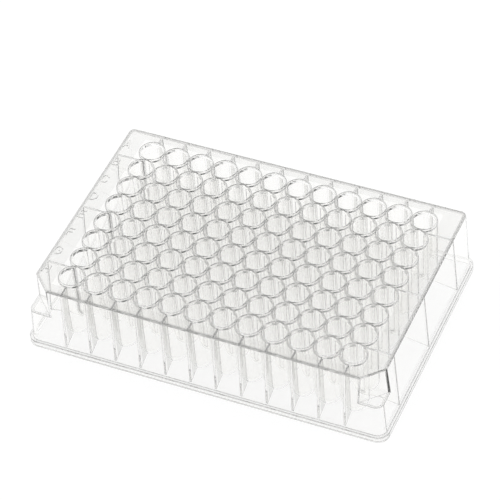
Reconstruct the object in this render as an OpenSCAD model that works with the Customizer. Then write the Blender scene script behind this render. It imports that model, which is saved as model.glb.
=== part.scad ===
// Deep-well plate with round-bottomed wells, moulded in one piece from clear plastic.
// Millimetres, +Z up. The origin is the centre of the footprint, on the surface it stands on.
// The columns of wells run along X, from column 1 at -X, and the rows along Y, from row A at +Y.

/* [Footprint] */
// Length of the flange round the foot, along the rows of wells
footprint_length = 127.76; // [127:0.01:134]
// Width of the flange round the foot, along the columns of wells
footprint_width = 85.48; // [84.8:0.01:92]
// Corner radius of the flange
footprint_corner_r = 4; // [2:0.1:6]
// Height of the flange
flange_height = 2.3; // [1.8:0.1:4]
// Thickness of the flange, on its side and on its top
flange_wall = 1.1; // [0.7:0.05:1.6]

/* [Skirt] */
// Height from the foot to the tops of the collars
plate_height = 26.7; // [24:0.1:40]
// Length of the skirt at the deck
deck_length = 123.1; // [120:0.1:124]
// Width of the skirt at the deck
deck_width = 80.8; // [79:0.1:82]
// Corner radius of the skirt at the deck
deck_corner_r = 2; // [1.5:0.1:4]
// Thickness of the deck
deck_thickness = 1.1; // [0.8:0.05:2]
// Thickness of the skirt's walls
skirt_wall = 1.1; // [0.7:0.05:1.4]
// How far each skirt wall leans out from the deck down to the flange
skirt_lean = 1.4; // [0.5:0.05:1.6]
// Width of the bevel round the deck's outer edge
deck_bevel = 0.3; // [0.2:0.05:0.6]

/* [Corner notches] */
// Length cut off each front corner, along both walls
notch_cut = 6.8; // [3:0.1:8]
// Depth of each notch below the tops of the collars
notch_depth = 12; // [6:0.1:16]
// Thickness of the wall and the floor of a notch
notch_wall = 0.8; // [0.6:0.05:1.2]

/* [Wells] */
// Number of columns
columns = 12; // [4:1:12]
// Number of rows
rows = 8; // [2:1:8]
// Distance from one well's centre to the next
pitch = 9; // [8.8:0.05:9]
// Inside diameter of a well at its mouth
mouth_d = 8.2; // [7.8:0.05:8.3]
// Inside diameter of a well where its round bottom starts
floor_d = 7.9; // [7.6:0.05:8.1]
// Outside diameter of a well's tube under the deck, more than the pitch, so that tubes merge
tube_top_d = 9.2; // [9.1:0.02:9.4]
// Outside diameter of a well's tube where its round bottom starts
tube_floor_d = 9.06; // [9.04:0.02:9.1]
// Height of the lowest point of a tube above the foot
tube_clearance = 1.6; // [1:0.1:4]

/* [Collars] */
// Height of the collars above the deck
collar_height = 0.76; // [0.4:0.02:2]
// Outside diameter of the collars, which merge with their neighbours
collar_d = 9.1; // [9.1:0.02:9.5]
// Width of the bevels that round the collars' lips, inside and outside
lip_bevel = 0.16; // [0.05:0.01:0.18]

/* [Ribs] */
// Thickness of the ribs between the tubes and the skirt
rib_thickness = 0.6; // [0.4:0.05:1.2]
// Height of the ribs' lower edges above the foot, at the tubes
rib_floor = 3.8; // [2.5:0.1:10]
// Number of ribs on each short side
short_ribs = 3; // [1:2:3]
// Rows of wells from one rib on a short side to the next
short_rib_step = 3; // [1:1:3]

/* [Row letters] */
// Height of a row letter
letter_height = 3.2; // [2:0.1:5]
// Width of a row letter
letter_width = 2.3; // [1.5:0.1:3]
// Width of a letter's stroke
letter_stroke = 0.45; // [0.2:0.05:0.6]
// Height of the letters above the deck
letter_relief = 0.25; // [0.05:0.05:0.4]
// Distance from the skirt's left edge to the letters' centres
letter_inset = 2.4; // [1.6:0.1:4]
// Distance of each letter's centre behind the centre of its row
letter_offset = 0.7; // [0:0.1:1.5]

/* [Hidden] */
$fn = 64;
deck_top = plate_height - collar_height;
deck_bottom = deck_top - deck_thickness;
notch_floor = plate_height - notch_depth;
skirt_height = deck_top - flange_height;
lean_rate = skirt_lean / skirt_height;
bottom_centre_z = tube_clearance + tube_floor_d / 2;
well_draft = (mouth_d - floor_d) / (plate_height - bottom_centre_z);
tube_draft = (tube_top_d - tube_floor_d) / (deck_bottom - bottom_centre_z);
// How far joined features run into each other, and cutters past what they cut
overlap = 0.3;

// The strokes of the row letters, each a path of points on a field one unit wide and one high
LETTERS = [
    [[[0, 0], [0.5, 1], [1, 0]], [[0.19, 0.38], [0.81, 0.38]]],
    [[[0.1, 0], [0.1, 1]],
     [[0.1, 1], [0.65, 1], [0.88, 0.86], [0.88, 0.66], [0.65, 0.52], [0.1, 0.52]],
     [[0.1, 0], [0.7, 0], [0.95, 0.15], [0.95, 0.38], [0.7, 0.52], [0.1, 0.52]]],
    [[[1, 0.76], [0.72, 1], [0.28, 1], [0, 0.74], [0, 0.26], [0.28, 0], [0.72, 0], [1, 0.24]]],
    [[[0.05, 0], [0.05, 1]], [[0.05, 1], [0.6, 1], [1, 0.7], [1, 0.3], [0.6, 0], [0.05, 0]]],
    [[[0.95, 0], [0.1, 0], [0.1, 1], [0.95, 1]], [[0.1, 0.52], [0.8, 0.52]]],
    [[[0.1, 0], [0.1, 1], [0.95, 1]], [[0.1, 0.52], [0.8, 0.52]]],
    [[[1, 0.76], [0.72, 1], [0.28, 1], [0, 0.74], [0, 0.26], [0.28, 0], [0.72, 0], [1, 0.24], [1, 0.46],
      [0.58, 0.46]]],
    [[[0.05, 0], [0.05, 1]], [[0.95, 0], [0.95, 1]], [[0.05, 0.52], [0.95, 0.52]]]
];

// How far the skirt's walls stand out past the deck's size at a height
function lean(z) = (deck_top - z) * lean_rate;
function column_x(i) = (i - (columns - 1) / 2) * pitch;
function row_y(j) = ((rows - 1) / 2 - j) * pitch;
function unit(v) = v / norm(v);
function across(v) = [-v.y, v.x];

// One side of a stroke drawn along a path, with its corners mitred
function stroke_side(path, offset) = [
    for (k = [0 : len(path) - 1])
        let (before = unit(k > 0 ? path[k] - path[k - 1] : path[1] - path[0]),
             after = k < len(path) - 1 ? unit(path[k + 1] - path[k]) : before,
             mitre = unit(across(before) + across(after)))
            path[k] + offset * mitre / (mitre * across(before))
];

module stroke(path, width) {
    left = stroke_side(path, width / 2);
    right = stroke_side(path, -width / 2);
    polygon(concat(left, [for (k = [len(right) - 1 : -1 : 0]) right[k]]));
}

// Straight-sided block with rounded upright corners
module rounded_block(length, width, r, z_low, z_high) {
    translate([0, 0, z_low]) linear_extrude(z_high - z_low) {
        square([length - 2 * r, width], center = true);
        square([length, width - 2 * r], center = true);
        for (x = [-1, 1], y = [-1, 1])
            translate([x * (length / 2 - r), y * (width / 2 - r)]) circle(r);
    }
}

// The same with walls that lean: it stands out past the given size by out_low and out_high
module leaning_block(length, width, r, z_low, z_high, out_low, out_high) {
    straight_x = length - 2 * r;
    straight_y = width - 2 * r;
    rotate([90, 0, 90]) translate([0, 0, -straight_x / 2]) linear_extrude(straight_x)
        trapezium(width / 2 + out_low, width / 2 + out_high, z_low, z_high);
    rotate([90, 0, 0]) translate([0, 0, -straight_y / 2]) linear_extrude(straight_y)
        trapezium(length / 2 + out_low, length / 2 + out_high, z_low, z_high);
    for (x = [-1, 1], y = [-1, 1])
        translate([x * straight_x / 2, y * straight_y / 2, z_low])
            cylinder(h = z_high - z_low, r1 = r + out_low, r2 = r + out_high);
}

module trapezium(half_low, half_high, z_low, z_high) {
    polygon([[-half_low, z_low], [half_low, z_low], [half_high, z_high], [-half_high, z_high]]);
}

// What the notches take off the front corners of a block whose sides lie in from the skirt's
module notches(inset, cut, z_low) {
    clear = 2 * skirt_lean;
    for (side = [-1, 1])
        translate([side * (deck_length / 2 - inset), -(deck_width / 2 - inset), z_low])
            linear_extrude(plate_height)
                polygon([[side * clear, -clear], [side * clear, cut + clear],
                         [-side * (cut + clear), -clear]]);
}

// Bevels along the edges that the notches make in the deck
module notch_bevels() {
    size = deck_bevel * sqrt(2);
    for (side = [-1, 1])
        translate([side * (deck_length - notch_cut) / 2, -(deck_width - notch_cut) / 2, deck_top])
            rotate(side * 45) rotate([45, 0, 0]) cube([2 * notch_cut, size, size], center = true);
}

module skirt_outside() {
    difference() {
        intersection() {
            leaning_block(deck_length, deck_width, deck_corner_r,
                          flange_height, deck_top, lean(flange_height), 0);
            leaning_block(deck_length, deck_width, deck_corner_r,
                          flange_height - overlap, deck_top, skirt_height + overlap - deck_bevel, -deck_bevel);
        }
        notches(0, notch_cut, notch_floor);
        notch_bevels();
    }
    rounded_block(footprint_length, footprint_width, footprint_corner_r, 0, flange_height);
}

module skirt_inside() {
    difference() {
        leaning_block(deck_length - 2 * skirt_wall, deck_width - 2 * skirt_wall,
                      deck_corner_r - skirt_wall, 0, deck_bottom, lean(0), lean(deck_bottom));
        notches(skirt_wall, notch_cut + notch_wall * sqrt(2) - 2 * skirt_wall, notch_floor - notch_wall);
    }
    rounded_block(footprint_length - 2 * flange_wall, footprint_width - 2 * flange_wall,
                  footprint_corner_r - flange_wall, -overlap, flange_height - flange_wall);
}

// Half the side view of a cone on a round bottom: it is d_low wide where the bottom starts
module round_bottomed(d_low, draft, z_high) {
    height = z_high - bottom_centre_z;
    translate([0, bottom_centre_z]) {
        polygon([[0, 0], [d_low / 2, 0], [(d_low + draft * height) / 2, height], [0, height]]);
        intersection() {
            circle(d_low / 2);
            translate([0, -d_low / 2]) square(d_low / 2);
        }
    }
}

module at_wells() {
    for (i = [0 : columns - 1], j = [0 : rows - 1])
        translate([column_x(i), row_y(j), 0]) children();
}

module tubes() {
    at_wells() rotate_extrude() round_bottomed(tube_floor_d, tube_draft, deck_bottom + overlap);
}

module collars() {
    r = collar_d / 2;
    at_wells() rotate_extrude()
        polygon([[0, deck_top - overlap], [r, deck_top - overlap], [r, plate_height - lip_bevel],
                 [r - lip_bevel, plate_height], [0, plate_height]]);
}

module well_hollows() {
    r = mouth_d / 2;
    at_wells() rotate_extrude() {
        round_bottomed(floor_d, well_draft, plate_height);
        polygon([[0, plate_height - lip_bevel], [r - lip_bevel * well_draft / 2, plate_height - lip_bevel],
                 [r + lip_bevel, plate_height], [r + lip_bevel, plate_height + overlap],
                 [0, plate_height + overlap]]);
    }
}

// Side view of a rib, from the skirt's wall in to the centre line of the outer tubes
module rib_outline(wall_at_deck, tube_centre) {
    mid_wall = wall_at_deck - skirt_wall / 2;
    polygon([[tube_centre, rib_floor],
             [tube_centre + tube_floor_d / 2, rib_floor],
             [mid_wall - skirt_wall / 2 + skirt_lean, flange_height],
             [mid_wall + skirt_lean, flange_height],
             [mid_wall + deck_thickness * lean_rate, deck_bottom + overlap],
             [tube_centre, deck_bottom + overlap]]);
}

module rib(wall_at_deck, tube_centre) {
    rotate([90, 0, 0]) translate([0, 0, -rib_thickness / 2]) linear_extrude(rib_thickness)
        rib_outline(wall_at_deck, tube_centre);
}

// One rib from each outer tube to the long sides of the skirt
module long_side_ribs() {
    for (i = [0 : columns - 1], turn = [90, 270])
        translate([column_x(i), 0, 0]) rotate(turn) rib(deck_width / 2, row_y(0));
}

// A few ribs to the short sides, each from between two tubes
module short_side_ribs() {
    for (k = [0 : short_ribs - 1], turn = [0, 180])
        translate([0, (k - (short_ribs - 1) / 2) * short_rib_step * pitch, 0])
            rotate(turn) rib(deck_length / 2, column_x(columns - 1));
}

module row_letters() {
    for (j = [0 : rows - 1])
        translate([letter_inset - deck_length / 2 - letter_width / 2,
                   row_y(j) + letter_offset - letter_height / 2, deck_top - overlap])
            linear_extrude(overlap + letter_relief)
                for (path = LETTERS[j])
                    stroke([for (p = path) [p.x * letter_width, p.y * letter_height]], letter_stroke);
}

module well_plate() {
    color([0.93, 0.94, 0.94, 0.35]) difference() {
        union() {
            difference() {
                skirt_outside();
                skirt_inside();
            }
            tubes();
            collars();
            long_side_ribs();
            short_side_ribs();
            row_letters();
        }
        well_hollows();
    }
}

well_plate();
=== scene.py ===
"""The look of the clear well plate: its plastic, the studio round it and the camera."""
import math
from types import SimpleNamespace

import bpy
from mathutils import Matrix, Vector


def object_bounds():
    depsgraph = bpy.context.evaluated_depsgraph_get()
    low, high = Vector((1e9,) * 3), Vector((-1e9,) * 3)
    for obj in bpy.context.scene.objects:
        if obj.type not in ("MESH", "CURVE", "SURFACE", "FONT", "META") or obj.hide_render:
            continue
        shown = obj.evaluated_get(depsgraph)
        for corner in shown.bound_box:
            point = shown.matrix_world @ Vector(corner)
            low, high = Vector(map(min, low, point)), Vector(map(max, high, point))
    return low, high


MM = 0.001
WHITE = (1, 1, 1, 1)

# The plate's sizes, as its solid has them
PITCH = 9 * MM
COLUMNS = 12
ROWS = 8
TUBE_RADIUS = 4.6 * MM
FLANGE_HEIGHT = 2.3 * MM
SKIRT_WALL = 1.1 * MM
DECK_LENGTH = 123.1 * MM
DECK_WIDTH = 80.8 * MM
DECK_LEVEL = 25.94 * MM
DECK_THICKNESS = 1.1 * MM
LETTER_WIDTH = 2.3 * MM
LETTER_INSET = 2.4 * MM

# How far the limits below keep from the faces that they follow
TOP_SLACK = 0.05 * MM
UNDERSIDE_SLACK = 0.14 * MM
RIB_SLACK = 0.1 * MM
FLANGE_SLACK = 0.5 * MM
LETTER_SLACK = 0.3 * MM

# The limits of the places on the plate whose look differs
LAST_WELL_X = (COLUMNS - 1) / 2 * PITCH
LAST_WELL_Y = (ROWS - 1) / 2 * PITCH
WELL_REACH = 5 * MM
FIELD_X = LAST_WELL_X + WELL_REACH
FIELD_Y = LAST_WELL_Y + WELL_REACH
FLANGE_TOP = FLANGE_HEIGHT + FLANGE_SLACK
DECK_TOP = DECK_LEVEL - TOP_SLACK
DECK_UNDERSIDE = DECK_LEVEL - DECK_THICKNESS - UNDERSIDE_SLACK
WALL_TOP_X = DECK_LENGTH / 2 - SKIRT_WALL + TOP_SLACK
WALL_TOP_Y = DECK_WIDTH / 2 - SKIRT_WALL + TOP_SLACK
LONG_RIBS_START = LAST_WELL_Y + TUBE_RADIUS
LONG_RIBS_END = DECK_WIDTH / 2 - SKIRT_WALL
LONG_RIBS_Y = (LONG_RIBS_START + LONG_RIBS_END) / 2
LONG_RIBS_REACH = (LONG_RIBS_END - LONG_RIBS_START) / 2 - RIB_SLACK
LETTERS_X = LETTER_INSET - DECK_LENGTH / 2
LETTERS_REACH = LETTER_WIDTH / 2 + LETTER_SLACK

# Camera: it looks at a point near the middle of the well tops, from the front and the right.
# The lens and the sensor are in millimetres, as Blender takes them
AIM_OFFSET = Vector((0.85, -0.92, 0)) * MM
AZIMUTH = math.radians(26.6)
ELEVATION = math.radians(45.3)
ROLL = math.radians(-4.8)
DISTANCE = 853.4 * MM
LENS = 187.5
SENSOR = 36
NEAREST_SEEN = 10 * MM

# Studio: a soft, nearly even dome over a floor that glows where it is seen, so that it is white
# in the picture and still takes the plate's shadow
DOME_HORIZON = 0.9
DOME_TOP = 0.95
DOME_TOP_HEIGHT = 0.6
FLOOR_SIZE = 4
FLOOR_DROP = 0.05 * MM
FLOOR_GREY = (0.15, 0.15, 0.15, 1)
FLOOR_ROUGHNESS = 0.9
FLOOR_GLOW = 0.89

# Clear plastic: what its surface takes from the light, and its depth, per metre
PLASTIC_SURFACE = (0.999, 0.998, 0.992, 1)
PLASTIC_DEPTH_COLOUR = (0.5, 0.49, 0.45, 1)
PLASTIC_DENSITY = 4
PLASTIC_IOR = 1.5
SMOOTHEST = 0.01
ROUGHEST = 0.02
POLISH_SCALE = 90
FLOW_SCALE = 180
FLOW_STRENGTH = 0.05
FLOW_DEPTH = 0.05 * MM

# The deck's top beside the wells carries painted shade, a little darker, unevenly, more in
# some places than in others. Painted shade darkens it more over the skirt's walls, where one
# looks down inside them, and darkens the long sides' ribs too
WALL_TOP_SHADE_COLOUR = (0.6, 0.6, 0.59, 1)
DECK_SHADE_COLOUR = (0.8, 0.8, 0.79, 1)
RIB_SHADE_COLOUR = (0.78, 0.78, 0.77, 1)
DECK_LEAST_SHADE = 0.5
DECK_SHADE_SCALE = 120

# Edges are rounded, and carry painted shade, darker the more the surface turns there: most round
# the flange, less beside the wells, little on the row letters and least on the wells' lips. The
# turn is 1 less the dot product of the normals with and without rounding. EDGE_START is the turn
# at which the painted shade starts, and EDGE_FULL that at which it is darkest
LIP_RADIUS = 0.22 * MM
LIP_SHADE = 0.15
EDGE_RADIUS = 0.3 * MM
EDGE_SHADE = 0.75
LETTER_SHADE = 0.3
EDGE_START = 0.002
EDGE_FULL = 0.03
EDGE_SHADE_COLOUR = (0.1, 0.1, 0.1, 1)
EDGE_SAMPLES = 3

# Light inside clear plastic takes many turns before it leaves
LIGHT_BOUNCES = 36


def look_from(target, azimuth, elevation, roll, distance):
    """A matrix for a camera at a distance from the target: azimuth 0 looks along +Y."""
    away = Vector((math.sin(azimuth) * math.cos(elevation),
                   -math.cos(azimuth) * math.cos(elevation),
                   math.sin(elevation)))
    turn = away.to_track_quat("Z", "Y").to_matrix() @ Matrix.Rotation(roll, 3, "Z")
    return Matrix.Translation(target + away * distance) @ turn.to_4x4()


def add_camera(target):
    data = bpy.data.cameras.new("camera")
    data.lens = LENS
    data.sensor_width = SENSOR
    data.clip_start = NEAREST_SEEN
    camera = bpy.data.objects.new("camera", data)
    camera.matrix_world = look_from(target, AZIMUTH, ELEVATION, ROLL, DISTANCE)
    bpy.context.scene.collection.objects.link(camera)
    bpy.context.scene.camera = camera


def calculate(tree, operation, *values):
    """A Math node's output: each value is a number or another node's output."""
    node = tree.nodes.new("ShaderNodeMath")
    node.operation = operation
    for slot, value in zip(node.inputs, values):
        if isinstance(value, (int, float)):
            slot.default_value = value
        else:
            tree.links.new(value, slot)
    return node.outputs["Value"]


def blend(tree, factor, low, high):
    """A value that goes from low to high as the factor goes from 0 to 1."""
    node = tree.nodes.new("ShaderNodeMapRange")
    node.inputs["To Min"].default_value = low
    node.inputs["To Max"].default_value = high
    tree.links.new(factor, node.inputs["Value"])
    return node.outputs["Result"]


def mix_colour(tree, factor, low, high):
    """A colour between two, each of them a colour or another node's output."""
    node = tree.nodes.new("ShaderNodeMix")
    node.data_type = "RGBA"
    tree.links.new(factor, node.inputs["Factor"])
    for slot, value in ((node.inputs["A"], low), (node.inputs["B"], high)):
        if isinstance(value, tuple):
            slot.default_value = value
        else:
            tree.links.new(value, slot)
    return node.outputs["Result"]


def noise(tree, place, scale):
    node = tree.nodes.new("ShaderNodeTexNoise")
    node.inputs["Scale"].default_value = scale
    tree.links.new(place, node.inputs["Vector"])
    return node.outputs["Fac"]


def both(tree, first, second):
    """A mask scaled by another, so 1 only where both are."""
    return calculate(tree, "MULTIPLY", first, second)


def either(tree, first, second):
    """The stronger of two masks."""
    return calculate(tree, "MAXIMUM", first, second)


def from_middle(tree, value):
    return calculate(tree, "ABSOLUTE", value)


def past(tree, value, limit):
    """A mask of what is further from the plate's middle than the limit."""
    return calculate(tree, "GREATER_THAN", from_middle(tree, value), limit)


def plate_zones(tree, place):
    """Masks of the places on the plate whose look differs, each 1 there and 0 elsewhere."""
    parts = tree.nodes.new("ShaderNodeSeparateXYZ")
    tree.links.new(place, parts.inputs[0])
    x, y, z = parts.outputs
    beside_wells = either(tree, past(tree, x, FIELD_X), past(tree, y, FIELD_Y))
    at_deck = calculate(tree, "GREATER_THAN", z, DECK_TOP)
    at_letters = calculate(tree, "COMPARE", x, LETTERS_X, LETTERS_REACH)
    over_walls = either(tree, past(tree, x, WALL_TOP_X), past(tree, y, WALL_TOP_Y))
    before_tubes = calculate(tree, "COMPARE", from_middle(tree, y), LONG_RIBS_Y, LONG_RIBS_REACH)
    under_deck = calculate(tree, "LESS_THAN", z, DECK_UNDERSIDE)
    along_field = calculate(tree, "LESS_THAN", from_middle(tree, x), FIELD_X)
    return SimpleNamespace(
        beside_wells=beside_wells,
        above_flange=calculate(tree, "GREATER_THAN", z, FLANGE_TOP),
        deck=both(tree, beside_wells, at_deck),
        letters=both(tree, at_deck, at_letters),
        wall_tops=both(tree, at_deck, over_walls),
        long_ribs=both(tree, both(tree, before_tubes, under_deck), along_field))


def rounded_edges(tree, beside_wells):
    """The normal with its edges rounded, and how much of an edge each point lies on, 0 to 1."""
    bevel = tree.nodes.new("ShaderNodeBevel")
    bevel.samples = EDGE_SAMPLES
    tree.links.new(blend(tree, beside_wells, LIP_RADIUS, EDGE_RADIUS), bevel.inputs["Radius"])
    agreement = tree.nodes.new("ShaderNodeVectorMath")
    agreement.operation = "DOT_PRODUCT"
    tree.links.new(bevel.outputs["Normal"], agreement.inputs[0])
    tree.links.new(tree.nodes.new("ShaderNodeNewGeometry").outputs["Normal"], agreement.inputs[1])
    on_edge = tree.nodes.new("ShaderNodeMapRange")
    on_edge.inputs["From Min"].default_value = 1 - EDGE_START
    on_edge.inputs["From Max"].default_value = 1 - EDGE_FULL
    tree.links.new(agreement.outputs["Value"], on_edge.inputs["Value"])
    return bevel.outputs["Normal"], on_edge.outputs["Result"]


def edge_shade(tree, zones):
    """How much the painted shade darkens an edge in each zone, 0 to 1."""
    shade = either(tree, blend(tree, zones.beside_wells, LIP_SHADE, EDGE_SHADE),
                   blend(tree, zones.above_flange, 1, 0))
    return both(tree, shade, blend(tree, zones.letters, 1, LETTER_SHADE))


def surface_colour(tree, place, zones, on_edge):
    """The surface's colour, with painted shade: uneven on the deck, darker on wall tops, long
    ribs and edges.
    """
    # Painted shade: uneven on the deck beside the wells, darker on the wall tops and the long
    # ribs
    deck_shade = both(tree, zones.deck, blend(tree, noise(tree, place, DECK_SHADE_SCALE), DECK_LEAST_SHADE, 1))
    colour = mix_colour(tree, deck_shade, PLASTIC_SURFACE, DECK_SHADE_COLOUR)
    colour = mix_colour(tree, zones.wall_tops, colour, WALL_TOP_SHADE_COLOUR)
    colour = mix_colour(tree, zones.long_ribs, colour, RIB_SHADE_COLOUR)
    # Painted shade on the edges, darkest where the surface turns most
    return mix_colour(tree, both(tree, on_edge, edge_shade(tree, zones)), colour, EDGE_SHADE_COLOUR)


def flow_marks(tree, place, normal):
    """The normal, with the faint waves that the plastic's flow leaves in a moulding."""
    flow = tree.nodes.new("ShaderNodeBump")
    flow.inputs["Strength"].default_value = FLOW_STRENGTH
    flow.inputs["Distance"].default_value = FLOW_DEPTH
    tree.links.new(noise(tree, place, FLOW_SCALE), flow.inputs["Height"])
    tree.links.new(normal, flow.inputs["Normal"])
    return flow.outputs["Normal"]


def clear_plastic():
    """Clear plastic: rounded edges, painted shade by zone and on the edges, faint flow marks and
    an uneven polish.
    """
    material = bpy.data.materials.new("clear_plastic")
    material.use_nodes = True
    tree = material.node_tree
    nodes, links = tree.nodes, tree.links
    shader = nodes["Principled BSDF"]
    shader.inputs["IOR"].default_value = PLASTIC_IOR
    shader.inputs["Transmission Weight"].default_value = 1

    place = nodes.new("ShaderNodeTexCoord").outputs["Object"]
    zones = plate_zones(tree, place)
    normal, on_edge = rounded_edges(tree, zones.beside_wells)
    surface = surface_colour(tree, place, zones, on_edge)
    links.new(surface, shader.inputs["Base Color"])
    links.new(blend(tree, noise(tree, place, POLISH_SCALE), SMOOTHEST, ROUGHEST),
              shader.inputs["Roughness"])
    links.new(flow_marks(tree, place, normal), shader.inputs["Normal"])

    inside = nodes.new("ShaderNodeVolumeAbsorption")
    inside.inputs["Color"].default_value = PLASTIC_DEPTH_COLOUR
    inside.inputs["Density"].default_value = PLASTIC_DENSITY
    links.new(inside.outputs["Volume"], nodes["Material Output"].inputs["Volume"])
    return material


def floor_material():
    """A matt floor that glows where the camera sees it, directly or by way of the plastic."""
    material = bpy.data.materials.new("floor")
    material.use_nodes = True
    tree = material.node_tree
    nodes, links = tree.nodes, tree.links
    shader = nodes["Principled BSDF"]
    shader.inputs["Base Color"].default_value = FLOOR_GREY
    shader.inputs["Roughness"].default_value = FLOOR_ROUGHNESS
    shader.inputs["Emission Color"].default_value = WHITE
    path = nodes.new("ShaderNodeLightPath").outputs
    seen = either(tree, path["Is Camera Ray"],
                  either(tree, path["Is Glossy Ray"], path["Is Transmission Ray"]))
    glow = calculate(tree, "MULTIPLY", seen, FLOOR_GLOW)
    links.new(glow, shader.inputs["Emission Strength"])
    return material


def add_floor():
    bpy.ops.mesh.primitive_plane_add(size=FLOOR_SIZE, location=(0, 0, -FLOOR_DROP))
    floor = bpy.context.object
    floor.name = "floor"
    floor.data.materials.append(floor_material())


def add_dome():
    """Even light from all round, a little brighter towards the top."""
    world = bpy.data.worlds.new("studio")
    world.use_nodes = True
    nodes, links = world.node_tree.nodes, world.node_tree.links
    direction = nodes.new("ShaderNodeTexCoord")
    parts = nodes.new("ShaderNodeSeparateXYZ")
    links.new(direction.outputs["Generated"], parts.inputs[0])
    fade = nodes.new("ShaderNodeMapRange")
    fade.inputs["From Max"].default_value = DOME_TOP_HEIGHT
    fade.inputs["To Min"].default_value = DOME_HORIZON
    fade.inputs["To Max"].default_value = DOME_TOP
    links.new(parts.outputs["Z"], fade.inputs["Value"])
    background = nodes["Background"]
    background.inputs["Color"].default_value = WHITE
    links.new(fade.outputs["Result"], background.inputs["Strength"])
    bpy.context.scene.world = world


def set_light_paths():
    cycles = bpy.context.scene.cycles
    cycles.max_bounces = LIGHT_BOUNCES
    cycles.transmission_bounces = LIGHT_BOUNCES
    cycles.glossy_bounces = LIGHT_BOUNCES
    cycles.transparent_max_bounces = LIGHT_BOUNCES


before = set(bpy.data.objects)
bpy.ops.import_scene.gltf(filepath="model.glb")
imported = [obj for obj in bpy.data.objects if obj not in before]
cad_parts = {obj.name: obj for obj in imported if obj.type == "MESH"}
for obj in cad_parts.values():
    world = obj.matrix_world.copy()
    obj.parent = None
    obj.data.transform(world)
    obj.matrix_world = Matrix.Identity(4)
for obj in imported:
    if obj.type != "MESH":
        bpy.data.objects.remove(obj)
cad_low, cad_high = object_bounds()
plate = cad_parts["well_plate"]
plate.data.materials[0] = clear_plastic()

add_camera(Vector((0, 0, cad_high[2])) + AIM_OFFSET)
add_floor()
add_dome()
set_light_paths()
bpy.context.scene.view_settings.view_transform = "Standard"
